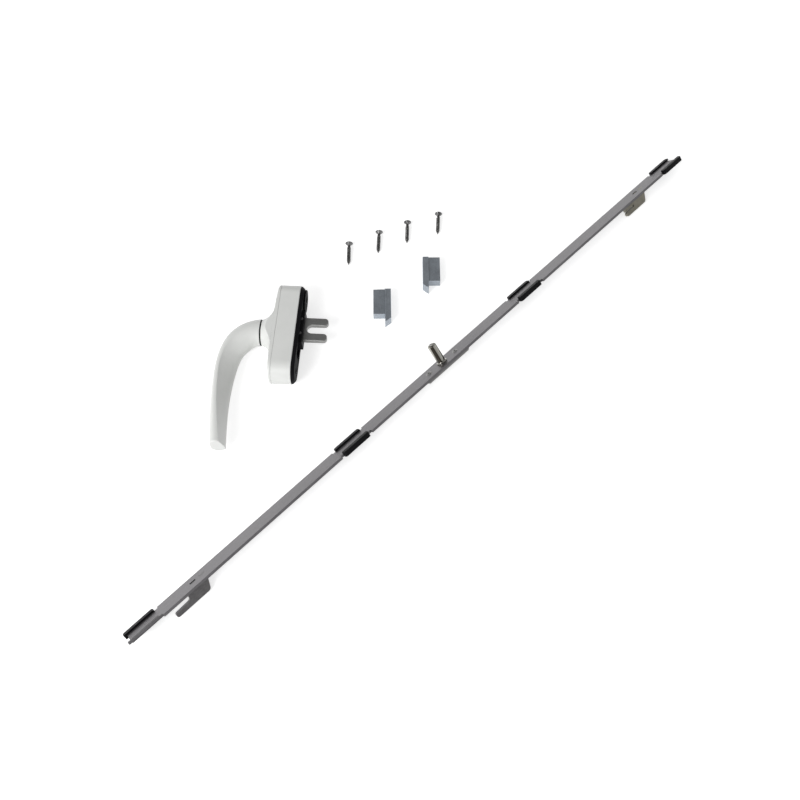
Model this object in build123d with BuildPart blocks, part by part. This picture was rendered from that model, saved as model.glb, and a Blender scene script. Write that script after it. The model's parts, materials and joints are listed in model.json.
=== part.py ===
from build123d import *
import math
import os

# A multipoint lock kit for a sliding door: a lever handle whose gear drives a two-pronged fork, a long
# drive rod with two hooks and a drive pin that the fork takes hold of, two keepers for the hooks, and
# four screws. The pieces lie loose on a table, as they come out of the box. Lengths are in millimetres.
# +Z is up, +X is the way the handle's mounting face looks, and the handle's base runs along Y.
# The origin is on the table, under the middle of the kit's box.

# Where things lie on the table
handle_x = -130.8
handle_y = 20.8
rod_yaw = 48.1
rod_roll = 46.5
keeper_places = {"keeper_left": (-57.4, 64.8, 4.0, 1), "keeper_right": (-13.3, 104.6, 3.0, -1)}
screw_row_x = -93.9
screw_row_y = 134.6
screw_row_width = 85.3
screw_row_depth = 41.7
screw_place_shares = ((0, 0), (0.33, 0.375), (0.647, 0.703), (1, 1))
screw_yaws = (3.2, 1.3, 1.6, 0.0)

# General fits
running_gap = 0.05
side_gap = 0.4
face_gap = 0.3
slip_gap = 0.1
overrun = 2.0

# Handle base: a stadium-shaped housing, closed behind by a plate and in front by a crowned cover
base_length = 100.0
base_width = 28.0
housing_depth = 17.5
housing_wall = 2.0
housing_web = 2.0
rim_round = 0.6
plate_thickness = 3.0
plate_inset = 0.6
plate_bevel = 2.2
plate_spigot = 1.5
far_pad_height = 1.6
far_pad_length = 22.0
far_pad_width = 17.0
far_pad_reach = 47.0
crown_end_height = 2.2
crown_mid_height = 4.2
crown_round = 1.4
seam_bevel = 0.3
cover_wall = 2.2
bell_foot_radius = 22.5
bell_hollow_share = 0.123
neck_radius = 12.1
neck_depth = 31.0
neck_round = 0.5

# Handle fixing: two threaded posts behind clearance holes in the plate
bolt_spacing = 76.0
bolt_radius = 2.6
bolt_depth = 12.0
post_radius = 5.2

# Spindle and its bearing
spindle_square = 8.0
journal_radius = 6.0
bush_wall = 2.0
ring_thickness = 1.0
ring_width = 1.9
ring_groove = 0.7
ring_mouth = 5.0
washer_thickness = 1.0
washer_inset = 0.6
socket_depth = 15.0
grub_radius = 2.4
grub_length = 6.6
grub_drop = 8.0
grub_hex = 2.5

# Lever
lever_reach = 113.5
lever_stand = 59.0
# each row: share of reach, share of the rise from the hub, turn of the section in degrees,
# share of the hub's radius in thickness and in height, share of the ridged shape, and the ridge's
# place as a share of half the thickness, outwards from the middle
lever_section_shares = (
    (0.011, 0.213, 14.0, 0.985, 0.990, 0.00, 0.60),
    (0.067, 0.570, 38.0, 0.970, 0.960, 0.15, 0.60),
    (0.160, 0.826, 55.0, 0.870, 0.920, 0.45, 0.60),
    (0.272, 0.945, 73.0, 0.755, 0.890, 0.80, 0.55),
    (0.449, 1.000, 88.0, 0.660, 0.860, 1.00, 0.38),
    (0.620, 0.989, 92.6, 0.590, 0.830, 1.00, 0.20),
    (0.791, 0.935, 95.6, 0.545, 0.800, 1.00, -0.05),
    (0.895, 0.887, 96.4, 0.524, 0.780, 1.00, -0.22),
    (1.000, 0.831, 97.0, 0.505, 0.760, 1.00, -0.40),
)
# the grip's inner side, from the ridge down: share of the way to the inner edge, share of half height
grip_inner_shares = (
    (0.0, 1.0),
    (0.39, 0.56),
    (0.77, 0.10),
    (1.0, -0.45),
    (0.79, -0.90),
    (0.42, -0.99),
    (0.0, -1.0),
)
grip_square_share = 0.4
tip_round = 0.8

# Pinion and rack
gear_module = 1.0
pinion_teeth = 16
pressure_angle = 20.0
tooth_addendum = 0.8
tooth_dedendum = 1.1
tooth_play = 0.12
pinion_width = 6.0
flank_steps = 4
quarter_turn = 90.0

# Slider and fork
fork_rest = 4.9
slider_length = 34.0
slider_width = 14.0
slider_proud = 3.0
carriage_thickness = 2.5
fork_width = 24.0
fork_thickness = 4.5
fork_reach = 27.0
fork_slot_width = 8.6
fork_slot_depth = 18.5
fork_corner = 3.2
fork_bevel = 0.4
fork_root = 5.4
fork_rivet_radius = 1.5
fork_rivet_spacing = 15.0

# Drive rod: a flat bar with its fittings, places measured along it from the drive pin
bar_width = 20.0
bar_thickness = 2.3
bar_corner = 1.0
bar_end_inset = 2.3
clip_place_inner = 110.2
clip_place_outer = 328.2
clip_length = 28.2
clip_width = 21.7
clip_floor = 0.6
clip_corner = 2.0
rail_height = 1.7
rail_lip = 0.9
rail_round = 0.4
notch_depth = 2.6
notch_margin = 3.0
shoe_height = 0.9
shoe_reach = 5.0
shoe_side = 9.0
shoe_drop = 1.0
shoe_groove_width = 0.5
shoe_groove_depth = 0.5
shoe_groove_pitch = 1.4

# Drive pin on its carrier plate
pin_radius = 4.0
pin_length = 19.5
pin_round = 1.6
pin_collar_radius = 5.0
pin_collar_height = 1.5
pin_collar_bevel = 0.5
pin_stem_radius = 3.0
pin_foot_radius = 4.2
pin_foot_height = 0.8
pin_plate_length = 52.0
pin_plate_width = 17.6
pin_plate_thickness = 2.1
pin_plate_bevel = 1.6
rivet_spacing = 33.0
rivet_radius = 2.0
rivet_head_radius = 2.9
rivet_head_height = 0.8
rivet_head_bevel = 0.9
rivet_bore_radius = 1.2
rivet_bore_depth = 1.6

# Hook plates, staked through the bar, each at a gap from the outer clip on its side. The near one's
# finger leaves a wide mouth under the bar, and the far one's a narrow slot that ends in an eye
hook_near_gap = 9.6
hook_near_finger = 15.5
hook_far_gap = 24.3
hook_far_finger = 12.0
hook_far_slot = 1.1
hook_far_eye = 1.1
hook_thickness = 3.0
hook_depth = 12.0
hook_body = 21.5
hook_finger_width = 4.6
hook_tip_width = 4.0
hook_back_lean = 5.0
hook_corner = 3.4
hook_mouth_round = 2.4
hook_tip_round = 1.7
tab_length = 5.0
tab_first = 3.4
tab_pitch = 8.6
tab_sunk = 0.5

# Keepers
keeper_width = 16.4
keeper_length = 27.4
keeper_height = 8.0
rail_width = 5.6
keeper_rail_height = 9.6
tongue_length = 9.6
tongue_slant = 4.6
keeper_corner = 3.0
keeper_edge = 0.5
pilot_radius = 1.6
pilot_depth = 6.0
pilot_spacing = 15.0

# Countersunk tapping screws, lying on the rims of their heads
screw_length = 25.0
screw_head_radius = 3.7
screw_head_height = 2.5
screw_head_rim = 0.4
screw_crest = 1.95
screw_core = 1.4
screw_pitch = 1.4
screw_plain = 1.6
screw_tip = 4.2
recess_length = 4.2
recess_width = 0.9
recess_depth = 1.6

# Worked-out sizes
base_half = base_width / 2
pitch_radius = gear_module * pinion_teeth / 2
fork_stroke = math.radians(quarter_turn) * pitch_radius
web_back = housing_depth - housing_web
hub_face = neck_depth + washer_thickness + face_gap
carriage_back = plate_spigot + side_gap
carriage_front = carriage_back + carriage_thickness
pinion_back = carriage_front + side_gap
pinion_front = pinion_back + pinion_width
ring_back = web_back - ring_thickness - face_gap
plate_back = -plate_thickness
slider_back = plate_back - slider_proud
clip_places = {
    "guide_clip_1": -clip_place_outer,
    "guide_clip_2": -clip_place_inner,
    "guide_clip_3": clip_place_inner,
    "guide_clip_4": clip_place_outer,
}
bar_length = 2 * (clip_place_outer + clip_length / 2 - bar_end_inset)
outer_clip_inside = clip_place_outer - clip_length / 2
# each hook: the place of its back edge, and its finger's length
hook_shapes = {
    "hook_near": (hook_near_gap + hook_near_finger + hook_body - outer_clip_inside, hook_near_finger),
    "hook_far": (outer_clip_inside - hook_far_gap, hook_far_finger),
}
notch_half = bar_width / 2 - notch_depth
clip_foot = bar_thickness + clip_floor

# The rod rests on its hooks' feet or on its clips' low corners, whichever reach lower
hook_foot = bar_thickness + hook_depth
roll_sin = math.sin(math.radians(rod_roll))
roll_cos = math.cos(math.radians(rod_roll))
rod_height = max(
    hook_thickness / 2 * roll_sin + hook_foot * roll_cos, clip_width / 2 * roll_sin + clip_foot * roll_cos
)
yaw_sin = math.sin(math.radians(rod_yaw))
yaw_cos = math.cos(math.radians(rod_yaw))
rod_side_shift = (clip_foot - rail_height) / 2 * roll_sin

along_rod = Vector(yaw_cos, yaw_sin, 0)
rod_side = Vector(yaw_sin, -yaw_cos, 0)
across_rod = rod_side * roll_cos + Vector(0, 0, 1) * roll_sin
off_rod = rod_side * -roll_sin + Vector(0, 0, 1) * roll_cos
rod_origin = rod_side * -rod_side_shift + Vector(0, 0, 1) * rod_height
rod_face = Plane(origin=rod_origin, x_dir=along_rod, z_dir=off_rod)
rod_middle = Plane(origin=rod_origin, x_dir=along_rod, z_dir=across_rod)


def on_handle(depth):
    """A plane square to the spindle, depth in front of the housing's rear rim; its x runs along +Y."""
    return Plane(origin=(handle_x - depth, handle_y, base_half), x_dir=(0, 1, 0), z_dir=(-1, 0, 0))


def through_rod(place):
    """A plane square to the rod at a place along it; its x is across the rod and its y off its face."""
    return Plane(origin=rod_origin + along_rod * place, x_dir=across_rod * -1, z_dir=along_rod)


spindle_axis = Axis((handle_x, handle_y, base_half), (-1, 0, 0))
spindle_plane = Plane(origin=(handle_x, handle_y, base_half), x_dir=(0, 1, 0), z_dir=(0, 0, 1))

# Handle base

with BuildPart() as base_housing:
    with BuildSketch(on_handle(0)):
        SlotOverall(base_length, base_width)
    extrude(amount=housing_depth)
    fillet(base_housing.faces().sort_by(Axis.X)[-1].edges(), rim_round)
    chamfer(base_housing.faces().sort_by(Axis.X)[0].edges(), seam_bevel)
    with BuildSketch(on_handle(0)):
        SlotOverall(base_length - 2 * housing_wall, base_width - 2 * housing_wall)
    extrude(amount=web_back, mode=Mode.SUBTRACT)
    with BuildSketch(on_handle(plate_spigot)):
        with GridLocations(bolt_spacing, 0, 2, 1):
            Circle(post_radius)
    extrude(amount=web_back - plate_spigot)
    with BuildSketch(on_handle(plate_spigot)):
        with GridLocations(bolt_spacing, 0, 2, 1):
            Circle(bolt_radius)
    extrude(amount=bolt_depth, mode=Mode.SUBTRACT)
    with BuildSketch(on_handle(web_back)):
        Circle(journal_radius + face_gap)
    extrude(amount=housing_web, mode=Mode.SUBTRACT)

with BuildPart() as back_plate:
    with BuildSketch(on_handle(0)):
        SlotOverall(base_length - 2 * plate_inset, base_width - 2 * plate_inset)
    extrude(amount=-plate_thickness)
    chamfer(back_plate.faces().sort_by(Axis.X)[-1].edges(), plate_bevel)
    with BuildSketch(on_handle(0)):
        SlotOverall(
            base_length - 2 * (housing_wall + slip_gap), base_width - 2 * (housing_wall + slip_gap)
        )
    extrude(amount=plate_spigot)
    with BuildSketch(on_handle(plate_back)):
        with Locations((far_pad_reach - far_pad_length / 2, 0)):
            SlotOverall(far_pad_length, far_pad_width)
    extrude(amount=-far_pad_height)
    with BuildSketch(on_handle(plate_back - far_pad_height)):
        with GridLocations(bolt_spacing, 0, 2, 1):
            Circle(bolt_radius)
    extrude(amount=far_pad_height + plate_thickness + plate_spigot, mode=Mode.SUBTRACT)
    with BuildSketch(on_handle(slider_back)):
        with Locations((fork_rest - fork_stroke / 2, 0)):
            Rectangle(slider_length + fork_stroke + 2 * side_gap, slider_width + 2 * side_gap)
    extrude(amount=plate_spigot - slider_back, mode=Mode.SUBTRACT)

# The cover's crown rises from both ends to the neck, which flares out of it like a bell

crown_end = housing_depth + crown_end_height
crown_mid = housing_depth + crown_mid_height
bell_start = crown_mid - cover_wall / 2
bell_hollow = bell_hollow_share * (neck_depth - bell_start)
with BuildPart() as front_cover:
    with BuildSketch(on_handle(housing_depth)):
        SlotOverall(base_length, base_width)
    extrude(amount=crown_mid_height)
    with BuildSketch(spindle_plane):
        with BuildLine():
            Line((-base_length / 2, 0), (base_length / 2, 0))
            Line((base_length / 2, 0), (base_length / 2, crown_end))
            ThreePointArc(
                (base_length / 2, crown_end), (0, crown_mid), (-base_length / 2, crown_end)
            )
            Line((-base_length / 2, crown_end), (-base_length / 2, 0))
        make_face()
    extrude(amount=base_half, both=True, mode=Mode.INTERSECT)
    fillet(front_cover.faces().sort_by(Axis.X)[0].edges(), crown_round)
    chamfer(front_cover.faces().sort_by(Axis.X)[-1].edges(), seam_bevel)
    with BuildSketch(on_handle(housing_depth)):
        SlotOverall(base_length - 2 * cover_wall, base_width - 2 * cover_wall)
    extrude(amount=crown_end_height - cover_wall / 2, mode=Mode.SUBTRACT)
    with BuildSketch(spindle_plane):
        with BuildLine():
            Polyline(
                (neck_radius - neck_round, neck_depth),
                (0, neck_depth),
                (0, housing_depth),
                (neck_radius, housing_depth),
                (neck_radius, bell_start),
                (bell_foot_radius, bell_start),
            )
            ThreePointArc(
                (bell_foot_radius, bell_start),
                (
                    (bell_foot_radius + neck_radius) / 2 - bell_hollow,
                    (bell_start + neck_depth) / 2 - bell_hollow,
                ),
                (neck_radius, neck_depth - neck_round),
            )
            Line((neck_radius, neck_depth - neck_round), (neck_radius - neck_round, neck_depth))
        make_face()
    revolve(axis=spindle_axis)
    with BuildSketch(on_handle(housing_depth)):
        Circle(journal_radius + running_gap + bush_wall + slip_gap)
    extrude(amount=neck_depth - housing_depth, mode=Mode.SUBTRACT)
    with BuildSketch(spindle_plane.offset(-base_half)):
        with Locations((0, housing_depth)):
            Rectangle(base_length, overrun, align=(Align.CENTER, Align.MAX))
    extrude(amount=base_width, mode=Mode.SUBTRACT)
    with BuildSketch(on_handle(housing_depth)):
        SlotOverall(base_length, base_width)
    extrude(amount=neck_depth - housing_depth, mode=Mode.INTERSECT)

with BuildPart() as spindle_bush:
    with BuildSketch(on_handle(housing_depth)):
        Circle(journal_radius + running_gap + bush_wall)
        Circle(journal_radius + running_gap, mode=Mode.SUBTRACT)
    extrude(amount=neck_depth - housing_depth)

with BuildPart() as neck_washer:
    with BuildSketch(on_handle(neck_depth)):
        Circle(neck_radius - washer_inset)
        Circle(journal_radius + face_gap, mode=Mode.SUBTRACT)
    extrude(amount=washer_thickness)

# Lever, spindle and pinion turn as one


def section_plane(reach, depth, turn):
    """The plane of one lever section; its x points outwards, across the lever, and its y is up."""
    angle = math.radians(turn)
    return Plane(
        origin=(handle_x - depth, handle_y - reach, base_half),
        x_dir=(-math.sin(angle), math.cos(angle), 0),
        z_dir=(math.cos(angle), math.sin(angle), 0),
    )


def lever_section(half_thickness, half_height, ridged, ridge_place):
    """A round section at the hub, that passes into one with a ridge along its upper side."""
    ridge = ridge_place * ridged
    squareness = 1 - grip_square_share * ridged
    steps = (len(grip_inner_shares) - 1) / 2
    outer = []
    inner = []
    for step, (inward, grip_v) in enumerate(grip_inner_shares):
        angle = math.radians(quarter_turn * (1 - step / steps))
        round_u, round_v = abs(math.cos(angle)), math.sin(angle)
        outer_u = ridge + (1 - ridge) * round_u**squareness
        outer.append((outer_u, math.copysign(abs(round_v) ** squareness, round_v)))
        grip_u = ridge_place - inward * (1 + ridge_place)
        inner.append((-round_u + (grip_u + round_u) * ridged, round_v + (grip_v - round_v) * ridged))
    with BuildSketch() as section:
        with BuildLine():
            for side in (outer, inner):
                Spline(*[(u * half_thickness, v * half_height) for u, v in side])
        make_face()
    return section.sketch


with BuildPart() as lever:
    with BuildSketch(section_plane(0, hub_face, 0)):
        add(lever_section(neck_radius, neck_radius, 0, 0))
    for reach, rise, turn, thick, high, ridged, ridge_place in lever_section_shares:
        depth = hub_face + rise * (lever_stand - hub_face)
        with BuildSketch(section_plane(reach * lever_reach, depth, turn)):
            add(lever_section(thick * neck_radius, high * neck_radius, ridged, ridge_place))
    loft()
    fillet(lever.faces().sort_by(Axis.Y)[0].edges(), tip_round)
    with BuildSketch(on_handle(hub_face)):
        Rectangle(spindle_square + 2 * slip_gap, spindle_square + 2 * slip_gap)
    extrude(amount=socket_depth, mode=Mode.SUBTRACT)
    with BuildSketch(Plane(origin=(handle_x - hub_face - grub_drop, handle_y, 0))):
        Circle(grub_radius + slip_gap)
    extrude(amount=base_half, mode=Mode.SUBTRACT)

with BuildPart() as spindle:
    with BuildSketch(on_handle(pinion_back)):
        Rectangle(spindle_square, spindle_square)
    extrude(amount=hub_face + socket_depth - slip_gap - pinion_back)
    with BuildSketch(on_handle(pinion_front)):
        Circle(journal_radius)
    extrude(amount=hub_face - pinion_front)
    with BuildSketch(on_handle(ring_back - slip_gap)):
        Circle(journal_radius)
        Circle(journal_radius - ring_groove, mode=Mode.SUBTRACT)
    extrude(amount=ring_thickness + 2 * slip_gap, mode=Mode.SUBTRACT)

with BuildPart() as retaining_ring:
    with BuildSketch(on_handle(ring_back)):
        Circle(journal_radius - ring_groove + slip_gap + ring_width)
        Circle(journal_radius - ring_groove + slip_gap, mode=Mode.SUBTRACT)
        with Locations((journal_radius, 0)):
            Rectangle(2 * ring_width + ring_groove, ring_mouth, mode=Mode.SUBTRACT)
    extrude(amount=ring_thickness)

grub_top = base_half - spindle_square / 2 - slip_gap
with BuildPart() as grub_screw:
    with BuildSketch(Plane(origin=(handle_x - hub_face - grub_drop, handle_y, grub_top - grub_length))):
        Circle(grub_radius)
    extrude(amount=grub_length)
    with BuildSketch(Plane(origin=(handle_x - hub_face - grub_drop, handle_y, grub_top - grub_length))):
        RegularPolygon(grub_hex / 2, 6, major_radius=False)
    extrude(amount=grub_length / 2, mode=Mode.SUBTRACT)


def pinion_points():
    """The corners of the pinion, with involute flanks, one tooth pointing along the plane's +y."""
    pressure = math.radians(pressure_angle)
    base_radius = pitch_radius * math.cos(pressure)
    tip_radius = pitch_radius + tooth_addendum
    pitch_roll = math.tan(pressure) - pressure
    half_tooth = math.pi / (2 * pinion_teeth) - tooth_play / (2 * pitch_radius) + pitch_roll
    flank = [(pitch_radius - tooth_dedendum, half_tooth)]
    for step in range(flank_steps + 1):
        radius = base_radius + (tip_radius - base_radius) * step / flank_steps
        roll = math.acos(base_radius / radius)
        flank.append((radius, half_tooth - (math.tan(roll) - roll)))
    points = []
    for tooth in range(pinion_teeth):
        middle = math.radians(quarter_turn) - 2 * math.pi * tooth / pinion_teeth
        rising = [(radius, middle + half) for radius, half in flank]
        falling = [(radius, middle - half) for radius, half in reversed(flank)]
        for radius, angle in rising + falling:
            points.append((radius * math.cos(angle), radius * math.sin(angle)))
    return points


with BuildPart() as pinion:
    with BuildSketch(on_handle(pinion_back)):
        with BuildLine():
            Polyline(*pinion_points(), close=True)
        make_face()
        Rectangle(spindle_square, spindle_square, mode=Mode.SUBTRACT)
    extrude(amount=pinion_width)

# Slider, with the rack on its low side and the fork let into its back

rack_pitch = math.pi * gear_module
rack_tip = pitch_radius - tooth_addendum
rack_root = pitch_radius + tooth_dedendum
rack_back = base_half - housing_wall - side_gap
rack_gaps = math.ceil((fork_stroke + rack_pitch) / rack_pitch)
slope = math.tan(math.radians(pressure_angle))
gap_tip_half = rack_pitch / 4 + tooth_play / 2 + tooth_addendum * slope
gap_root_half = rack_pitch / 4 + tooth_play / 2 - tooth_dedendum * slope
fork_low = base_half - fork_thickness / 2

with BuildPart() as rack_slider:
    with BuildSketch(on_handle(slider_back)):
        with Locations((fork_rest, 0)):
            Rectangle(slider_length, slider_width)
    extrude(amount=carriage_back - slider_back)
    fillet(rack_slider.edges().filter_by(Axis.X), fork_rivet_radius)
    with BuildSketch(on_handle(carriage_back)):
        with Locations((fork_rest, 0)):
            Rectangle(slider_length, 2 * rack_back)
    extrude(amount=carriage_thickness)
    with BuildSketch(on_handle(carriage_front)):
        with Locations((fork_rest, rack_tip)):
            Rectangle(slider_length, rack_back - rack_tip, align=(Align.CENTER, Align.MIN))
    extrude(amount=pinion_front - carriage_front)
    with BuildSketch(on_handle(carriage_front)):
        with Locations(*[(rack_pitch * number, 0) for number in range(-1, rack_gaps + 1)]):
            Polygon(
                (-gap_tip_half - overrun * slope, rack_tip - overrun),
                (gap_tip_half + overrun * slope, rack_tip - overrun),
                (gap_root_half, rack_root),
                (-gap_root_half, rack_root),
                align=None,
            )
    extrude(amount=pinion_front - carriage_front, mode=Mode.SUBTRACT)
    with BuildSketch(Plane.XY.offset(fork_low - slip_gap)):
        with Locations((handle_x - slider_back - fork_root - slip_gap, handle_y + fork_rest)):
            Rectangle(fork_root + slip_gap, fork_width + 2 * slip_gap, align=(Align.MIN, Align.CENTER))
    extrude(amount=fork_thickness + 2 * slip_gap, mode=Mode.SUBTRACT)
    with BuildSketch(Plane.XY.offset(base_half - slider_width / 2)):
        with Locations((handle_x - slider_back - fork_root / 2, handle_y + fork_rest)):
            with GridLocations(0, fork_rivet_spacing, 1, 2):
                Circle(fork_rivet_radius + slip_gap)
    extrude(amount=slider_width, mode=Mode.SUBTRACT)

with BuildPart() as drive_fork:
    with BuildSketch(Plane.XY.offset(fork_low)) as fork_outline:
        with Locations((handle_x - slider_back - fork_root, handle_y + fork_rest)):
            Rectangle(
                fork_root + slider_back + fork_reach, fork_width, align=(Align.MIN, Align.CENTER)
            )
        with Locations((handle_x + fork_reach, handle_y + fork_rest)):
            Rectangle(
                fork_slot_depth - fork_slot_width / 2,
                fork_slot_width,
                align=(Align.MAX, Align.CENTER),
                mode=Mode.SUBTRACT,
            )
        with Locations(
            (handle_x + fork_reach - fork_slot_depth + fork_slot_width / 2, handle_y + fork_rest)
        ):
            Circle(fork_slot_width / 2, mode=Mode.SUBTRACT)
        fillet(fork_outline.vertices().group_by(Axis.X)[-1], fork_corner)
    extrude(amount=fork_thickness)
    chamfer(
        drive_fork.faces().filter_by(Axis.Z).edges().filter_by(
            lambda edge: edge.center().X > handle_x - slider_back + slip_gap
        ),
        fork_bevel,
    )
    with BuildSketch(Plane.XY.offset(fork_low)):
        with Locations((handle_x - slider_back - fork_root / 2, handle_y + fork_rest)):
            with GridLocations(0, fork_rivet_spacing, 1, 2):
                Circle(fork_rivet_radius + slip_gap)
    extrude(amount=fork_thickness, mode=Mode.SUBTRACT)

with BuildPart() as fork_rivets:
    with BuildSketch(Plane.XY.offset(base_half - slider_width / 2)):
        with Locations((handle_x - slider_back - fork_root / 2, handle_y + fork_rest)):
            with GridLocations(0, fork_rivet_spacing, 1, 2):
                Circle(fork_rivet_radius)
    extrude(amount=slider_width)

# Drive rod

tab_places = [
    place - tab_first - tab_pitch * tab for place, finger in hook_shapes.values() for tab in (0, 1)
]
with BuildPart() as drive_bar:
    with BuildSketch(rod_face) as bar_outline:
        Rectangle(bar_length, bar_width)
        notch_centre = bar_width / 2 - notch_depth / 2
        with Locations(
            *[(place, side * notch_centre) for place in clip_places.values() for side in (-1, 1)]
        ):
            Rectangle(clip_length + 2 * notch_margin, notch_depth, mode=Mode.SUBTRACT)
        fillet(
            bar_outline.vertices().group_by(Axis(rod_origin, along_rod))[0]
            + bar_outline.vertices().group_by(Axis(rod_origin, along_rod))[-1],
            bar_corner,
        )
        with Locations(*[(place, 0) for place in tab_places]):
            Rectangle(tab_length + 2 * slip_gap, hook_thickness + 2 * slip_gap, mode=Mode.SUBTRACT)
        with GridLocations(rivet_spacing, 0, 2, 1):
            Circle(rivet_radius + slip_gap, mode=Mode.SUBTRACT)
        Circle(pin_stem_radius + slip_gap, mode=Mode.SUBTRACT)
    extrude(amount=-bar_thickness)

pin_plate_foot = bar_thickness + pin_plate_thickness
with BuildPart() as pin_plate:
    with BuildSketch(rod_face.offset(-bar_thickness)):
        Rectangle(pin_plate_length, pin_plate_width)
        with GridLocations(rivet_spacing, 0, 2, 1):
            Circle(rivet_radius + slip_gap, mode=Mode.SUBTRACT)
        Circle(pin_stem_radius + slip_gap, mode=Mode.SUBTRACT)
    extrude(amount=-pin_plate_thickness)
    ends = pin_plate.faces().filter_by(Axis(rod_origin, along_rod))
    chamfer(ends.edges().group_by(Axis(rod_origin, off_rod))[0], pin_plate_bevel)

with BuildPart() as drive_pin:
    with BuildSketch(rod_middle):
        Polygon(
            (0, pin_length),
            (pin_radius, pin_length),
            (pin_radius, pin_collar_height),
            (pin_collar_radius - pin_collar_bevel, pin_collar_height),
            (pin_collar_radius, pin_collar_height - pin_collar_bevel),
            (pin_collar_radius, 0),
            (pin_stem_radius, 0),
            (pin_stem_radius, -pin_plate_foot),
            (pin_foot_radius, -pin_plate_foot),
            (pin_foot_radius, -pin_plate_foot - pin_foot_height),
            (0, -pin_plate_foot - pin_foot_height),
            align=None,
        )
    revolve(axis=Axis(rod_origin, off_rod))
    fillet(drive_pin.faces().sort_by(Axis(rod_origin, off_rod))[-1].edges(), pin_round)

with BuildPart() as pin_plate_rivets:
    for side in (-1, 1):
        rivet_origin = rod_origin + along_rod * (side * rivet_spacing / 2)
        with BuildSketch(Plane(origin=rivet_origin, x_dir=along_rod, z_dir=across_rod)):
            Polygon(
                (rivet_bore_radius, rivet_head_height),
                (rivet_bore_radius, rivet_head_height - rivet_bore_depth),
                (0, rivet_head_height - rivet_bore_depth),
                (0, -pin_plate_foot - rivet_head_height),
                (rivet_head_radius - rivet_head_bevel, -pin_plate_foot - rivet_head_height),
                (rivet_head_radius, -pin_plate_foot),
                (rivet_radius, -pin_plate_foot),
                (rivet_radius, 0),
                (rivet_head_radius, 0),
                (rivet_head_radius - rivet_head_bevel, rivet_head_height),
                align=None,
            )
        revolve(axis=Axis(rivet_origin, off_rod))


def guide_channel(wall_top):
    """The section of the bar's channel in a clip, with the opening between the lips above it."""
    bar_room = 2 * (notch_half + slip_gap)
    with BuildSketch() as channel:
        Rectangle(bar_room, bar_thickness, align=(Align.CENTER, Align.MAX))
        Rectangle(bar_room - 2 * (rail_lip + slip_gap), wall_top, align=(Align.CENTER, Align.MIN))
    return channel.sketch


clips = {}
for name, place in clip_places.items():
    with BuildPart() as clip:
        with BuildSketch(rod_face.offset(-clip_foot)):
            with Locations((place, 0)):
                RectangleRounded(clip_length, clip_width, clip_corner)
        extrude(amount=clip_foot + rail_height)
        fillet(clip.faces().sort_by(Axis(rod_origin, off_rod))[-1].edges(), rail_round)
        with BuildSketch(through_rod(place - clip_length / 2)):
            add(guide_channel(rail_height))
        extrude(amount=clip_length, mode=Mode.SUBTRACT)
        if abs(place) == clip_place_outer:
            with BuildSketch(rod_face.offset(-clip_foot)):
                with Locations((math.copysign(clip_place_outer + clip_length / 2, place), 0)):
                    Rectangle(2 * bar_end_inset, 2 * notch_half)
            extrude(amount=clip_floor, mode=Mode.SUBTRACT)
        if name == "guide_clip_1":
            with BuildSketch(through_rod(place - clip_length / 2)):
                with Locations((-shoe_reach, -clip_foot)):
                    Rectangle(
                        clip_width, clip_foot + rail_height, align=(Align.MAX, Align.MIN)
                    )
            extrude(amount=clip_length, mode=Mode.SUBTRACT)
    clips[name] = clip

# The near clip's upper side is a metal end shoe with grooves along it

shoe_start = through_rod(-clip_place_outer - clip_length / 2)
shoe_inner = notch_half - rail_lip
shoe_top_middle = (shoe_side + shoe_inner) / 2
with BuildPart() as end_shoe:
    with BuildSketch(rod_face.offset(-shoe_drop)):
        with Locations((-clip_place_outer, -shoe_side)):
            Rectangle(clip_length, shoe_side - shoe_inner, align=(Align.CENTER, Align.MIN))
    extrude(amount=shoe_drop + shoe_height)
    with BuildSketch(shoe_start):
        add(guide_channel(shoe_height))
        for side in (-1, 1):
            with Locations((-shoe_top_middle + side * shoe_groove_pitch / 2, shoe_height)):
                Rectangle(shoe_groove_width, 2 * shoe_groove_depth)
    extrude(amount=clip_length, mode=Mode.SUBTRACT)

hooks = {}
for name, (place, finger) in hook_shapes.items():
    finger_end = place - hook_body - finger
    with BuildPart() as hook:
        with BuildSketch(rod_middle.offset(-hook_thickness / 2)):
            with BuildLine():
                FilletPolyline(
                    (place, -bar_thickness),
                    (place - hook_back_lean, -hook_foot),
                    (finger_end, -hook_foot),
                    (finger_end, -hook_foot + hook_tip_width),
                    (place - hook_body, -hook_foot + hook_finger_width),
                    (place - hook_body, -bar_thickness),
                    radius=[hook_corner, hook_tip_round, hook_tip_round, hook_mouth_round],
                )
                Line((place - hook_body, -bar_thickness), (place, -bar_thickness))
            make_face()
            if name == "hook_far":
                Polygon(
                    (place - hook_body, -bar_thickness),
                    (place - hook_body, -hook_foot + hook_finger_width + hook_far_slot),
                    (finger_end, -hook_foot + hook_tip_width + hook_far_slot),
                    (finger_end, -bar_thickness),
                    align=None,
                )
                with Locations((place - hook_body, -hook_foot + hook_finger_width + hook_far_slot / 2)):
                    Circle(hook_far_eye, mode=Mode.SUBTRACT)
            for tab, sunk in ((0, 0), (1, tab_sunk)):
                with Locations((place - tab_first - tab_pitch * tab, -sunk)):
                    Rectangle(tab_length, bar_thickness - sunk, align=(Align.CENTER, Align.MAX))
        extrude(amount=hook_thickness)
    hooks[name] = hook

# Keepers: a block with a higher rail down one side, which runs on as a slanted tongue


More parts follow.
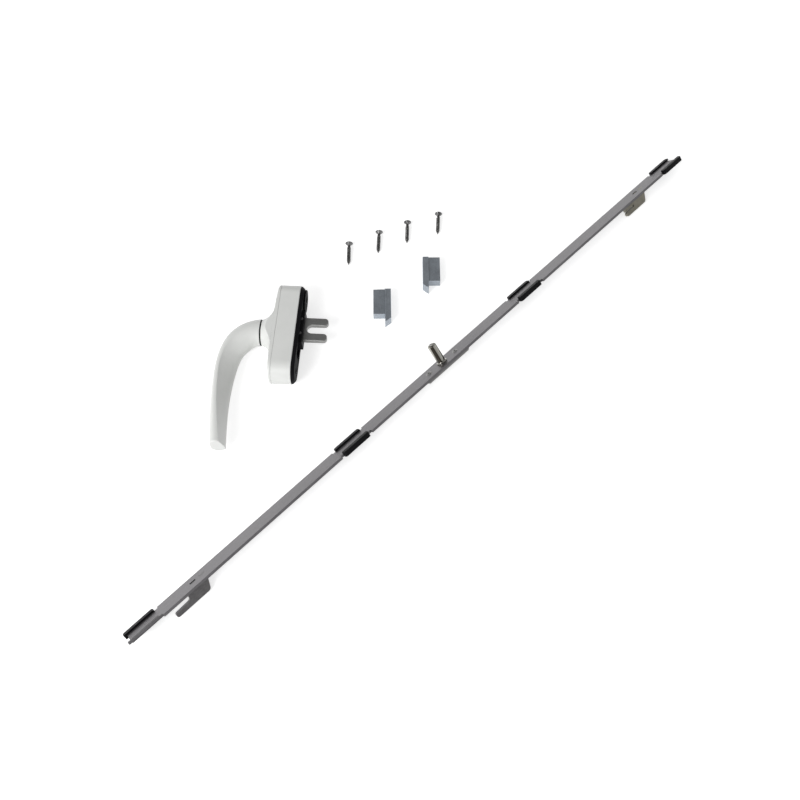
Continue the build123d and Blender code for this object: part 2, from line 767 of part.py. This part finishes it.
keepers = {}
for name, (place_x, place_y, yaw, side) in keeper_places.items():
    foot = Plane(
        origin=(place_x, place_y, 0),
        x_dir=(math.cos(math.radians(yaw)), math.sin(math.radians(yaw)), 0),
        z_dir=(0, 0, 1),
    )
    rail_side = side * keeper_width / 2
    rail_inner = side * (keeper_width / 2 - rail_width)
    front = -keeper_length / 2
    rail_outline = (
        (rail_side, -front),
        (rail_inner, -front),
        (rail_inner, front - tongue_length),
        (rail_side, front - tongue_length + tongue_slant),
    )
    with BuildPart() as keeper:
        with BuildSketch(foot):
            with BuildLine():
                Polyline(*rail_outline, close=True)
            make_face()
        extrude(amount=keeper_rail_height)
        with BuildSketch(foot) as keeper_plate:
            Rectangle(keeper_width, keeper_length)
            fillet(
                keeper_plate.vertices().filter_by(
                    lambda corner: corner.distance_to(foot.from_local_coords(Vector(-rail_side, front)))
                    < keeper_edge
                ),
                keeper_corner,
            )
        extrude(amount=keeper_height)
        fillet(keeper.faces().filter_by(Axis.Z).sort_by(Axis.Z)[-1].edges(), keeper_edge)
        with BuildSketch(foot):
            with GridLocations(0, pilot_spacing, 1, 2):
                Circle(pilot_radius)
        extrude(amount=pilot_depth, mode=Mode.SUBTRACT)
    keepers[name] = keeper

# Screws: each lies on its head's rim and the last full thread

screw_slope = math.asin((screw_head_radius - screw_crest) / (screw_length - screw_tip))
thread_turns = int((screw_length - screw_tip - screw_head_height - screw_plain) / screw_pitch)
with BuildPart() as fixing_screws:
    for (share_x, share_y), yaw in zip(screw_place_shares, screw_yaws):
        heading = math.radians(yaw)
        level = Vector(math.sin(heading), -math.cos(heading), 0)
        screw_way = level * math.cos(screw_slope) - Vector(0, 0, 1) * math.sin(screw_slope)
        head = Vector(
            screw_row_x + share_x * screw_row_width,
            screw_row_y + share_y * screw_row_depth,
            screw_head_radius * math.cos(screw_slope) + screw_head_rim * math.sin(screw_slope),
        )
        beside = Vector(-math.cos(heading), -math.sin(heading), 0)
        thread_start = screw_head_height + screw_plain
        profile = [(0, 0), (0, screw_head_radius), (screw_head_rim, screw_head_radius)]
        profile += [(screw_head_height, screw_core), (thread_start, screw_core)]
        for turn in range(thread_turns):
            start = thread_start + turn * screw_pitch
            profile += [(start + screw_pitch / 2, screw_crest), (start + screw_pitch, screw_core)]
        profile += [(screw_length, 0)]
        with BuildSketch(Plane(origin=head, x_dir=screw_way, z_dir=beside)):
            with BuildLine():
                Polyline(*profile, close=True)
            make_face()
        revolve(axis=Axis(head, screw_way))
        with BuildSketch(Plane(origin=head, x_dir=beside, z_dir=screw_way)):
            Rectangle(recess_length, recess_width)
            Rectangle(recess_width, recess_length)
        extrude(amount=recess_depth, mode=Mode.SUBTRACT)

pieces = {
    "base_housing": base_housing,
    "front_cover": front_cover,
    "back_plate": back_plate,
    "spindle_bush": spindle_bush,
    "neck_washer": neck_washer,
    "lever": lever,
    "spindle": spindle,
    "retaining_ring": retaining_ring,
    "grub_screw": grub_screw,
    "pinion": pinion,
    "rack_slider": rack_slider,
    "drive_fork": drive_fork,
    "fork_rivets": fork_rivets,
    "drive_bar": drive_bar,
    "drive_pin": drive_pin,
    "pin_plate": pin_plate,
    "pin_plate_rivets": pin_plate_rivets,
    **clips,
    "end_shoe": end_shoe,
    **hooks,
    **keepers,
    "fixing_screws": fixing_screws,
}
os.makedirs("parts", exist_ok=True)
for name, piece in pieces.items():
    piece.part.label = name
    export_step(piece.part, f"parts/{name}.step")
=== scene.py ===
import json
import math

import bmesh
import bpy
from mathutils import Matrix, Vector


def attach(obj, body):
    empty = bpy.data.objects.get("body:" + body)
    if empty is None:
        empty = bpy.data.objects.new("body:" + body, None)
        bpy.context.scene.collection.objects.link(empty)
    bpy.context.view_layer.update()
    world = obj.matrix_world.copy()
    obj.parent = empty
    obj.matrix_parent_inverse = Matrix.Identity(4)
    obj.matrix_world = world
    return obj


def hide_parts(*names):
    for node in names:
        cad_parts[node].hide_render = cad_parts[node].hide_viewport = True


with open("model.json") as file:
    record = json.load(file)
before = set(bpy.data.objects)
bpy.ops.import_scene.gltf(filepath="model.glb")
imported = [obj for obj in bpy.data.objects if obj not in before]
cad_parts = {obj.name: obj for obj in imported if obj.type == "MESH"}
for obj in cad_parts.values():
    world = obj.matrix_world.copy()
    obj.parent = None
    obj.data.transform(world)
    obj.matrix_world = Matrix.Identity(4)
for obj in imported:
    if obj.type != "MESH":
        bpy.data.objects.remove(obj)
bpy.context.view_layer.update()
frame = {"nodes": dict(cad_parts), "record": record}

# A multipoint lock set for a sliding door, laid out on a white table. Lengths are in metres.

nodes = frame["nodes"]
record = frame["record"]
MM = 0.001
UP = Vector((0, 0, 1))
WHITE = (1.0, 1.0, 1.0, 1.0)

# The rod's lie on the table, which brushed and ribbed finishes follow

mounts = {row["name"]: row for row in record["mounts"]}
ROD_ALONG = Vector(mounts["rod_guides"]["axis"])
ROD_OFF = Vector(mounts["drive_pin"]["axis"])
ROD_ACROSS = ROD_ALONG.cross(ROD_OFF)
ROD_YAW = math.atan2(ROD_ALONG.y, ROD_ALONG.x)

# Reaches of painted shade in hollows, widths of edges painted as highlight and shade, and heights of
# surface relief

SEAM_REACH = 0.9 * MM
SCREW_HOLLOW_REACH = 1.0 * MM
SLOT_REACH = 3.0 * MM
MOULDED_EDGE = 0.35 * MM
METAL_EDGE = 0.45 * MM
BAR_EDGE = 0.4 * MM
PIN_EDGE = 0.7 * MM
SCREW_EDGE = 0.3 * MM
FINE_RELIEF = 0.05 * MM
METAL_RELIEF = 0.06 * MM
CLIP_RIB_RELIEF = 0.12 * MM

# The drive bar's ribs, drawn as stripes of painted shade: full short of one place along the rod, and gone
# from the other on

BAR_RIB_PITCH = 2.8 * MM
BAR_RIBS_FULL = -318.0 * MM
BAR_RIBS_GONE = -314.0 * MM

# Ranges of noises that turn into patches, streaks, wear and the pin's painted reflections

NOISE_RANGE = (0.3, 0.7)
MOTTLE_RANGE = (0.35, 0.65)
BLOTCH_RANGE = (0.32, 0.68)
STREAK_RANGE = (0.45, 0.75)
BAR_STREAK_RANGE = (0.45, 0.8)
PIN_REFLECTION_RANGE = (0.46, 0.56)

# Openness of a point, from a closed hollow to a face, and likeness of a normal to its rounded one

HOLLOW_CLOSED = 0.2
HOLLOW_OPEN = 0.8
SLOT_OPEN = 0.5
EDGE_RANGE = (0.999, 0.9)

# Places of the mix node's colour sockets

MIX_FIRST, MIX_SECOND, MIX_RESULT = 6, 7, 2

# Node helpers for the finishes


def new_material(name, metallic=0.0):
    """A node material with a principled shader, as (material, tree, shader)."""
    material = bpy.data.materials.new(name)
    material.use_nodes = True
    tree = material.node_tree
    shader = tree.nodes["Principled BSDF"]
    shader.inputs["Metallic"].default_value = metallic
    return material, tree, shader


def node(tree, kind, inputs=None, **settings):
    """Adds a node, sets its properties, and links or sets its inputs."""
    made = tree.nodes.new(kind)
    for key, value in settings.items():
        setattr(made, key, value)
    for key, value in (inputs or {}).items():
        if isinstance(value, bpy.types.NodeSocket):
            tree.links.new(value, made.inputs[key])
        else:
            made.inputs[key].default_value = value
    return made


def calculated(tree, operation, *values):
    """The result of a math node on values or sockets."""
    return node(tree, "ShaderNodeMath", dict(enumerate(values)), operation=operation).outputs[0]


def place_coords(tree, turn=0.0, stretch=(1.0, 1.0, 1.0)):
    """The point's place in the frame, turned about Z, then stretched along each axis."""
    place = node(tree, "ShaderNodeTexCoord").outputs["Object"]
    turned = node(tree, "ShaderNodeMapping", {"Vector": place, "Rotation": (0, 0, -turn)}).outputs[0]
    return node(tree, "ShaderNodeMapping", {"Vector": turned, "Scale": stretch}).outputs[0]


def measured_along(tree, way):
    """How far the point lies along a direction from the frame's origin."""
    place = node(tree, "ShaderNodeTexCoord").outputs["Object"]
    return node(tree, "ShaderNodeVectorMath", {0: place, 1: way}, operation="DOT_PRODUCT").outputs["Value"]


def noise(tree, coords, scale, detail=3.0, roughness=0.55):
    """A noise value from 0 to 1; scale is in features to a metre."""
    settings = {"Vector": coords, "Scale": scale, "Detail": detail, "Roughness": roughness}
    return node(tree, "ShaderNodeTexNoise", settings).outputs["Fac"]


def ramp(tree, value, low, high, out_low=0.0, out_high=1.0):
    """Maps value's range low to high onto out_low to out_high, held at the ends."""
    settings = {"Value": value, "From Min": low, "From Max": high, "To Min": out_low, "To Max": out_high}
    return node(tree, "ShaderNodeMapRange", settings).outputs["Result"]


def mixed(tree, factor, first, second):
    """A colour between two colours, each a colour or a socket."""
    made = node(tree, "ShaderNodeMix", data_type="RGBA")
    tree.links.new(factor, made.inputs["Factor"])
    for socket, value in ((made.inputs[MIX_FIRST], first), (made.inputs[MIX_SECOND], second)):
        if isinstance(value, bpy.types.NodeSocket):
            tree.links.new(value, socket)
        else:
            socket.default_value = (*value, 1.0)
    return made.outputs[MIX_RESULT]


def hollow_mask(tree, reach, openness=HOLLOW_OPEN):
    """About 1 deep in grooves and corners and 0 on open faces, from ambient occlusion; it places painted
    shade.
    """
    made = node(tree, "ShaderNodeAmbientOcclusion", {"Distance": reach}, samples=8)
    return ramp(tree, made.outputs["AO"], HOLLOW_CLOSED, openness, 1.0, 0.0)


def edge_mask(tree, radius):
    """About 1 along outer and inner edges and 0 on open faces; it places painted highlights and shade
    along edges.
    """
    rounded = node(tree, "ShaderNodeBevel", {"Radius": radius}, samples=6).outputs[0]
    flat = node(tree, "ShaderNodeNewGeometry").outputs["Normal"]
    likeness = node(tree, "ShaderNodeVectorMath", {0: rounded, 1: flat}, operation="DOT_PRODUCT")
    return ramp(tree, likeness.outputs["Value"], *EDGE_RANGE)


def bump(tree, shader, height, strength, distance):
    """Feeds a height value to the shader's normal."""
    made = node(tree, "ShaderNodeBump", {"Height": height, "Strength": strength, "Distance": distance})
    tree.links.new(made.outputs["Normal"], shader.inputs["Normal"])


def dress(tree, shader, colour, wear, smooth, rough):
    """Feeds a colour to the shader, and a roughness that follows a noise between two values."""
    tree.links.new(colour, shader.inputs["Base Color"])
    tree.links.new(ramp(tree, wear, *NOISE_RANGE, smooth, rough), shader.inputs["Roughness"])


# Finishes


def coated(name, colour, shade):
    """Satin powder coat: a fine orange peel, a hardly visible mottle, and painted shade in its seams and
    creases.
    """
    seam_shade_colour = (0.12, 0.12, 0.12)
    material, tree, shader = new_material(name)
    coords = place_coords(tree)
    mottle = noise(tree, coords, scale=60.0)
    body = mixed(tree, ramp(tree, mottle, *MOTTLE_RANGE), shade, colour)
    # Painted shade: the coat darkens in seams and creases, where occlusion keeps light out.
    seam_shaded = mixed(tree, hollow_mask(tree, SEAM_REACH), body, seam_shade_colour)
    dress(tree, shader, seam_shaded, mottle, smooth=0.30, rough=0.38)
    shader.inputs["Coat Weight"].default_value = 0.15
    shader.inputs["Coat Roughness"].default_value = 0.2
    peel = noise(tree, coords, scale=1400.0, detail=2.0)
    bump(tree, shader, peel, strength=0.12, distance=FINE_RELIEF)
    return material


def plastic(name, colour, shade, roughness, shine, ribbed=False):
    """Moulded plastic with a fine grain and edges made paler by a painted highlight; the guide clips also
    have fine ribs.
    """
    edge_gain, edge_lift, wear_spread = 2.6, 0.012, 0.06
    material, tree, shader = new_material(name)
    coords = place_coords(tree, turn=ROD_YAW)
    blotch = noise(tree, coords, scale=120.0)
    body = mixed(tree, ramp(tree, blotch, *MOTTLE_RANGE), shade, colour)
    # Painted highlight: the edges are paler than the body.
    edge_highlight_colour = tuple(min(1.0, edge_gain * value + edge_lift) for value in colour)
    edge_highlighted = mixed(tree, edge_mask(tree, MOULDED_EDGE), body, edge_highlight_colour)
    dress(tree, shader, edge_highlighted, blotch, smooth=roughness - wear_spread, rough=roughness + wear_spread)
    shader.inputs["Specular IOR Level"].default_value = shine
    grain = noise(tree, coords, scale=3200.0, detail=2.0)
    if ribbed:
        ribs = node(tree, "ShaderNodeTexWave", {"Vector": coords, "Scale": 230.0, "Distortion": 0.0})
        relief = calculated(tree, "ADD", ribs.outputs["Fac"], grain)
        bump(tree, shader, relief, strength=0.35, distance=CLIP_RIB_RELIEF)
    else:
        bump(tree, shader, grain, strength=0.25, distance=FINE_RELIEF)
    return material


def metal(name, colour, shade, painted_edge, grain, turn=0.0, stretch=(1, 1, 1), metallic=0.9, slot_shade_colour=None):
    """Plated or bare metal: blotches, streaks along its rolling, edges painted as highlight and shade, and
    painted shade in slots.
    """
    streak_gain, smooth, rough = 1.12, 0.33, 0.46
    material, tree, shader = new_material(name, metallic)
    blotch = noise(tree, place_coords(tree), scale=90.0, detail=4.0)
    streaks = noise(tree, place_coords(tree, turn, stretch), scale=900.0)
    body = mixed(tree, ramp(tree, blotch, *BLOTCH_RANGE), shade, colour)
    streak_colour = tuple(min(1.0, streak_gain * value) for value in colour)
    streaked = mixed(tree, ramp(tree, streaks, *STREAK_RANGE, out_high=0.8), body, streak_colour)
    # Painted light and shade along edges: paler than the body on the fork and hooks, as a highlight, and
    # darker on the keepers, as shade.
    finished = mixed(tree, edge_mask(tree, METAL_EDGE), streaked, painted_edge)
    if slot_shade_colour:
        # Painted shade: slots darken where occlusion keeps light out.
        finished = mixed(tree, hollow_mask(tree, SLOT_REACH, SLOT_OPEN), finished, slot_shade_colour)
    dress(tree, shader, finished, streaks, smooth, rough)
    bump(tree, shader, streaks, strength=grain, distance=METAL_RELIEF)
    return material


def bar_metal():
    """The drive bar's rolled steel, speckled, with painted shade along its edges and fine ribs along the
    near end, drawn as dark stripes of painted shade.
    """
    dark, pale = (0.145, 0.14, 0.147), (0.21, 0.203, 0.212)
    streak_colour, painted_edge_colour, rib_shade_colour = (0.27, 0.262, 0.272), (0.10, 0.10, 0.10), (0.09, 0.088, 0.09)
    material, tree, shader = new_material("rolled_bar", metallic=0.85)
    streaks = noise(tree, place_coords(tree, ROD_YAW, stretch=(0.06, 1.0, 1.0)), scale=900.0)
    speckle = noise(tree, place_coords(tree), scale=1500.0, detail=2.0)
    body = mixed(tree, ramp(tree, speckle, *NOISE_RANGE), dark, pale)
    streaked = mixed(tree, ramp(tree, streaks, *BAR_STREAK_RANGE, out_high=0.7), body, streak_colour)
    # Painted shade: the bar's edges are darker than its face.
    with_painted_edges = mixed(tree, edge_mask(tree, BAR_EDGE), streaked, painted_edge_colour)
    # The ribs have no relief; darker stripes paint their shade.
    rib_turns = calculated(tree, "MULTIPLY", measured_along(tree, ROD_ACROSS), 2 * math.pi / BAR_RIB_PITCH)
    near_end = ramp(tree, measured_along(tree, ROD_ALONG), BAR_RIBS_FULL, BAR_RIBS_GONE, 1.0, 0.0)
    ribs = calculated(tree, "MULTIPLY", calculated(tree, "SINE", rib_turns), near_end)
    ribbed = mixed(tree, ramp(tree, ribs, 0.0, 1.0, out_high=0.75), with_painted_edges, rib_shade_colour)
    dress(tree, shader, ribbed, streaks, smooth=0.34, rough=0.46)
    bump(tree, shader, streaks, strength=0.1, distance=METAL_RELIEF)
    return material


def pin_metal():
    """The drive pin's smoky bright plating, with long light and dark streaks down its side that paint its
    reflections, and painted glints along its edges.
    """
    dark, pale, painted_edge_colour = (0.05, 0.045, 0.036), (0.46, 0.45, 0.41), (0.72, 0.71, 0.68)
    length_share = 0.06
    material, tree, shader = new_material("turned_pin", metallic=0.95)
    along = measured_along(tree, ROD_ALONG)
    across = measured_along(tree, ROD_ACROSS)
    length = calculated(tree, "MULTIPLY", measured_along(tree, ROD_OFF), length_share)
    place = node(tree, "ShaderNodeCombineXYZ", {0: along, 1: across, 2: length}).outputs[0]
    streaks = noise(tree, place, scale=420.0, detail=2.0, roughness=0.4)
    # Painted reflection: light and dark streaks along the pin stand in for what its polished side mirrors.
    body = mixed(tree, ramp(tree, streaks, *PIN_REFLECTION_RANGE), dark, pale)
    # Painted glint: the pin's edges are pale.
    with_painted_edges = mixed(tree, edge_mask(tree, PIN_EDGE), body, painted_edge_colour)
    dress(tree, shader, with_painted_edges, streaks, smooth=0.1, rough=0.2)
    return material


def screw_metal():
    """Zinc plate with painted highlights on the heads' rims, painted shade that darkens the threads, and
    deeper painted shade in the recesses.
    """
    head_dark, head_pale, rim_highlight_colour = (0.10, 0.10, 0.10), (0.26, 0.26, 0.26), (0.55, 0.55, 0.55)
    thread_shade_dark, thread_shade_pale, recess_shade_colour = (0.06, 0.06, 0.06), (0.16, 0.16, 0.155), (0.02, 0.02, 0.02)
    material, tree, shader = new_material("bright_zinc_plate", metallic=0.95)
    mottle = noise(tree, place_coords(tree), scale=260.0)
    patches = ramp(tree, mottle, *MOTTLE_RANGE)
    # Painted highlight: the heads' rims are pale.
    head = mixed(tree, edge_mask(tree, SCREW_EDGE), mixed(tree, patches, head_dark, head_pale), rim_highlight_colour)
    on_thread = node(tree, "ShaderNodeAttribute", attribute_name="thread").outputs["Fac"]
    # Painted shade: the threads are darker than the heads, for the shade in their valleys.
    body = mixed(tree, on_thread, head, mixed(tree, patches, thread_shade_dark, thread_shade_pale))
    # Painted shade: the cross recesses are nearly black.
    recess_shaded = mixed(tree, hollow_mask(tree, SCREW_HOLLOW_REACH), body, recess_shade_colour)
    dress(tree, shader, recess_shaded, mottle, smooth=0.16, rough=0.3)
    return material


# Finishes of the record's material slots, then those of single nodes

finishes = {
    "white_coat": coated("white_powder_coat", colour=(0.80, 0.81, 0.79), shade=(0.77, 0.78, 0.76)),
    "black_plastic": plastic(
        "black_plastic_plain",
        colour=(0.008, 0.008, 0.010),
        shade=(0.005, 0.005, 0.006),
        roughness=0.6,
        shine=0.06,
    ),
    "pale_nylon": plastic(
        "pale_nylon_plain",
        colour=(0.62, 0.60, 0.55),
        shade=(0.58, 0.56, 0.51),
        roughness=0.45,
        shine=0.3,
    ),
    "bar_steel": bar_metal(),
    "fork_steel": metal(
        "stamped_dark_steel",
        colour=(0.33, 0.33, 0.325),
        shade=(0.25, 0.25, 0.245),
        painted_edge=(0.36, 0.36, 0.35),
        grain=0.14,
    ),
    "bright_steel": pin_metal(),
    "cast_zinc": metal(
        "cast_zinc",
        colour=(0.40, 0.44, 0.485),
        shade=(0.29, 0.318, 0.35),
        painted_edge=(0.22, 0.23, 0.24),
        grain=0.3,
        metallic=0.85,
    ),
    "bright_zinc": screw_metal(),
}
HOOK_STRETCH = (0.4, 1.0, 1.0)
own_finishes = {
    "rack_slider": plastic(
        "slider_black_oxide",
        colour=(0.012, 0.012, 0.014),
        shade=(0.008, 0.008, 0.009),
        roughness=0.5,
        shine=0.1,
    ),
    "hook_near": metal(
        "hook_near_steel",
        colour=(0.18, 0.175, 0.178),
        shade=(0.11, 0.108, 0.11),
        painted_edge=(0.3, 0.3, 0.3),
        grain=0.16,
        turn=ROD_YAW,
        stretch=HOOK_STRETCH,
    ),
    "hook_far": metal(
        "hook_far_steel",
        colour=(0.27, 0.255, 0.215),
        shade=(0.18, 0.172, 0.14),
        painted_edge=(0.36, 0.34, 0.3),
        grain=0.16,
        turn=ROD_YAW,
        stretch=HOOK_STRETCH,
        # Painted shade deep in the hook's slot.
        slot_shade_colour=(0.012, 0.012, 0.01),
    ),
}
clip_finish = plastic(
    "clip_plastic",
    colour=(0.006, 0.006, 0.007),
    shade=(0.004, 0.004, 0.005),
    roughness=0.42,
    shine=0.1,
    ribbed=True,
)
own_finishes.update({name: clip_finish for name in nodes if name.startswith("guide_clip")})

slot_of = {row["node"]: row["material_slot"] for row in record["subparts"]}
for name, thing in nodes.items():
    finish = own_finishes.get(name, finishes[slot_of[name]])
    for slot in thing.material_slots:
        slot.material = finish

# Screws, with a real helical thread and a cross recess

SCREW_ROW_X, SCREW_ROW_Y = -93.9 * MM, 134.6 * MM
SCREW_ROW_WIDTH, SCREW_ROW_DEPTH = 85.3 * MM, 41.7 * MM
SCREW_PLACE_SHARES = ((0, 0), (0.33, 0.375), (0.647, 0.703), (1, 1))
SCREW_YAWS = (3.2, 1.3, 1.6, 0.0)
SCREW_SPIN = 25.0
SCREW_LENGTH = 25.0 * MM
HEAD_RADIUS = 3.7 * MM
HEAD_RIM = 0.4 * MM
HEAD_HEIGHT = 2.5 * MM
FACE_BEVEL = 0.2 * MM
CREST = 1.95 * MM
CORE = 1.4 * MM
PITCH = 1.4 * MM
RIDGE_HALF_SHARE = 0.29
THREAD_START = 4.1 * MM
THREAD_FADE = 0.6 * PITCH
TIP_LENGTH = 4.2 * MM
TIP_RADIUS = 0.02 * MM
TIP_RIDGE_SHARE = 0.15
RECESS_REACH = 2.1 * MM
RECESS_HALF = 0.5 * MM
RECESS_DEPTH = 1.6 * MM
BED_REACH = 0.62 * RECESS_REACH
BED_HALF = 0.7 * RECESS_HALF
ROUND_STEPS = 40
ROWS_PER_PITCH = 10
CREASE = math.radians(38)


def held_share(value):
    """A share held between 0 and 1."""
    return min(1.0, max(0.0, value))


def screw_radius(along, angle):
    """The screw's radius at a distance from its head's face and an angle round it."""
    taper = held_share((SCREW_LENGTH - along) / TIP_LENGTH)
    crest = (CREST - CORE) * (TIP_RIDGE_SHARE + (1 - TIP_RIDGE_SHARE) * taper)
    phase = (along / PITCH - angle / (2 * math.pi)) % 1.0
    ridge = held_share(1.0 - abs(phase - 0.5) / RIDGE_HALF_SHARE)
    grow = held_share((along - THREAD_START) / PITCH)
    fade = held_share((SCREW_LENGTH - along) / THREAD_FADE)
    return max(TIP_RADIUS, CORE * taper + crest * ridge * grow * fade)


def cross_outline(reach, half, depth):
    """The twelve corners of a cross, anticlockwise as seen from the head."""
    corners = []
    for quarter in range(4):
        c, s = math.cos(quarter * math.pi / 2), math.sin(quarter * math.pi / 2)
        for x, y in ((reach, -half), (reach, half), (half, half)):
            corners.append((x * c - y * s, x * s + y * c, depth))
    return corners


def around(loop):
    """Each item of a closed loop, with the one after it."""
    return list(zip(loop, loop[1:] + loop[:1]))


def bridge(shape, first, second):
    """Joins two loops of as many corners by a band of faces."""
    for (first_start, first_end), (second_start, second_end) in zip(around(first), around(second)):
        shape.faces.new((first_start, first_end, second_end, second_start))


def screw_rings():
    """The screw's rings from its head's face to its tip, each a list of (radius, angle, along)."""
    angles = [2 * math.pi * step / ROUND_STEPS for step in range(ROUND_STEPS)]
    head_outline = ((HEAD_RADIUS - FACE_BEVEL, 0.0), (HEAD_RADIUS, FACE_BEVEL))
    head_outline += ((HEAD_RADIUS, HEAD_RIM), (CORE, HEAD_HEIGHT))
    rings = [[(radius, angle, along) for angle in angles] for radius, along in head_outline]
    rows = round((SCREW_LENGTH - HEAD_HEIGHT) / PITCH * ROWS_PER_PITCH)
    for row in range(1, rows + 1):
        along = HEAD_HEIGHT + (SCREW_LENGTH - HEAD_HEIGHT) * row / rows
        rings.append([(screw_radius(along, angle), angle, along) for angle in angles])
    return rings


def screw_mesh(name):
    """One screw along +Z, with its head's face at zero."""
    shape = bmesh.new()
    loops = []
    for ring in screw_rings():
        loops.append([shape.verts.new((r * math.cos(a), r * math.sin(a), z)) for r, a, z in ring])
    for lower, upper in zip(loops, loops[1:]):
        bridge(shape, lower, upper)
    shape.faces.new(loops[-1])
    mouth = [shape.verts.new(point) for point in cross_outline(RECESS_REACH, RECESS_HALF, 0.0)]
    bed = [shape.verts.new(point) for point in cross_outline(BED_REACH, BED_HALF, RECESS_DEPTH)]
    rim = [shape.edges.get(pair) for pair in around(loops[0])]
    lips = [shape.edges.new(pair) for pair in around(mouth)]
    bmesh.ops.triangle_fill(shape, edges=rim + lips, use_beauty=True)
    bridge(shape, mouth, bed)
    shape.faces.new(bed)
    bmesh.ops.recalc_face_normals(shape, faces=shape.faces)
    mesh = bpy.data.meshes.new(name)
    shape.to_mesh(mesh)
    shape.free()
    mesh.polygons.foreach_set("use_smooth", [True] * len(mesh.polygons))
    mesh.set_sharp_from_angle(angle=CREASE)
    mesh.materials.append(finishes["bright_zinc"])
    on_thread = [float(vertex.co.z > HEAD_HEIGHT) for vertex in mesh.vertices]
    mesh.attributes.new(name="thread", type="FLOAT", domain="POINT").data.foreach_set("value", on_thread)
    return mesh


slope = math.asin((HEAD_RADIUS - CREST) / (SCREW_LENGTH - TIP_LENGTH))
head_lift = HEAD_RADIUS * math.cos(slope) + HEAD_RIM * math.sin(slope)
for number, ((share_x, share_y), yaw) in enumerate(zip(SCREW_PLACE_SHARES, SCREW_YAWS), 1):
    heading = math.radians(yaw)
    level = Vector((math.sin(heading), -math.cos(heading), 0))
    way = level * math.cos(slope) - UP * math.sin(slope)
    beside = Vector((-math.cos(heading), -math.sin(heading), 0))
    head_x = SCREW_ROW_X + share_x * SCREW_ROW_WIDTH
    head_y = SCREW_ROW_Y + share_y * SCREW_ROW_DEPTH
    place = Matrix.Translation((head_x, head_y, head_lift))
    turned = Matrix((beside, way.cross(beside), way)).transposed().to_4x4()
    spin = Matrix.Rotation(math.radians(SCREW_SPIN * number), 4, "Z")
    screw = bpy.data.objects.new(f"screw_{number}", screw_mesh(f"screw_{number}"))
    bpy.context.scene.collection.objects.link(screw)
    screw.data.transform(place @ turned @ spin)
    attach(screw, "handle_base")
    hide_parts("fixing_screws")

# Floor: it glows to the camera and in reflections, so it is white and keeps the object's shadow

FLOOR_HALF = 20.0
FLOOR_GLOW = 0.65
floor_mesh = bpy.data.meshes.new("floor")
corners = [(FLOOR_HALF * x, FLOOR_HALF * y, 0) for x, y in ((-1, -1), (1, -1), (1, 1), (-1, 1))]
floor_mesh.from_pydata(corners, [], [(0, 1, 2, 3)])
floor = bpy.data.objects.new("floor", floor_mesh)
bpy.context.scene.collection.objects.link(floor)
floor_material, floor_tree, floor_shader = new_material("floor_white")
floor_shader.inputs["Base Color"].default_value = (0.8, 0.8, 0.8, 1.0)
floor_shader.inputs["Roughness"].default_value = 0.9
floor_shader.inputs["Specular IOR Level"].default_value = 0.1
floor_shader.inputs["Emission Color"].default_value = WHITE
light_path = node(floor_tree, "ShaderNodeLightPath")
seen = light_path.outputs["Is Camera Ray"]
for ray in ("Is Glossy Ray", "Is Transmission Ray"):
    seen = calculated(floor_tree, "MAXIMUM", seen, light_path.outputs[ray])
glow = calculated(floor_tree, "MULTIPLY", seen, FLOOR_GLOW)
floor_tree.links.new(glow, floor_shader.inputs["Emission Strength"])
floor_mesh.materials.append(floor_material)

# Sky: brightest at the horizon, and dimmer towards the zenith

SKY_HORIZON = 0.88
SKY_ZENITH = 0.22
ZENITH_RISE = 0.9
world = bpy.data.worlds.new("studio")
world.use_nodes = True
sky_tree = world.node_tree
sky = sky_tree.nodes["Background"]
sky.inputs["Color"].default_value = WHITE
looked_way = node(sky_tree, "ShaderNodeTexCoord").outputs["Generated"]
rise = node(sky_tree, "ShaderNodeSeparateXYZ", {0: looked_way}).outputs["Z"]
sky_tree.links.new(ramp(sky_tree, rise, 0.0, ZENITH_RISE, SKY_HORIZON, SKY_ZENITH), sky.inputs["Strength"])
bpy.context.scene.world = world

# Key light: one square area lamp on the left of the camera


def aimed(thing, place, aim):
    """Stands a lamp or a camera at a place, looking at an aim, and adds it to the scene."""
    thing.location = place
    thing.rotation_mode = "QUATERNION"
    thing.rotation_quaternion = (aim - place).to_track_quat("-Z", "Y")
    bpy.context.scene.collection.objects.link(thing)


KEY_PLACE = Vector((-1.0, -1.1, 1.0))
KEY_AIM = Vector((-0.05, 0, 0))
KEY_POWER = 21.0
KEY_SIZE = 0.9
key_data = bpy.data.lights.new("key", "AREA")
key_data.energy = KEY_POWER
key_data.size = KEY_SIZE
aimed(bpy.data.objects.new("key", key_data), KEY_PLACE, KEY_AIM)

# Camera

CAMERA_LENS = 38.25
CAMERA_ELEVATION = math.radians(61.4)
CAMERA_AZIMUTH = math.radians(3.0)
CAMERA_DISTANCE = 745.6 * MM
CAMERA_AIM = Vector((-35.73 * MM, -33.6 * MM, 0))
CAMERA_CLIP = 0.05
level_reach = math.cos(CAMERA_ELEVATION)
back = Vector(
    (
        math.sin(CAMERA_AZIMUTH) * level_reach,
        -math.cos(CAMERA_AZIMUTH) * level_reach,
        math.sin(CAMERA_ELEVATION),
    )
)
camera_data = bpy.data.cameras.new("camera")
camera_data.lens = CAMERA_LENS
camera_data.clip_start = CAMERA_CLIP
camera = bpy.data.objects.new("camera", camera_data)
aimed(camera, CAMERA_AIM + back * CAMERA_DISTANCE, CAMERA_AIM)
bpy.context.scene.camera = camera

bpy.context.scene.view_settings.view_transform = "Standard"
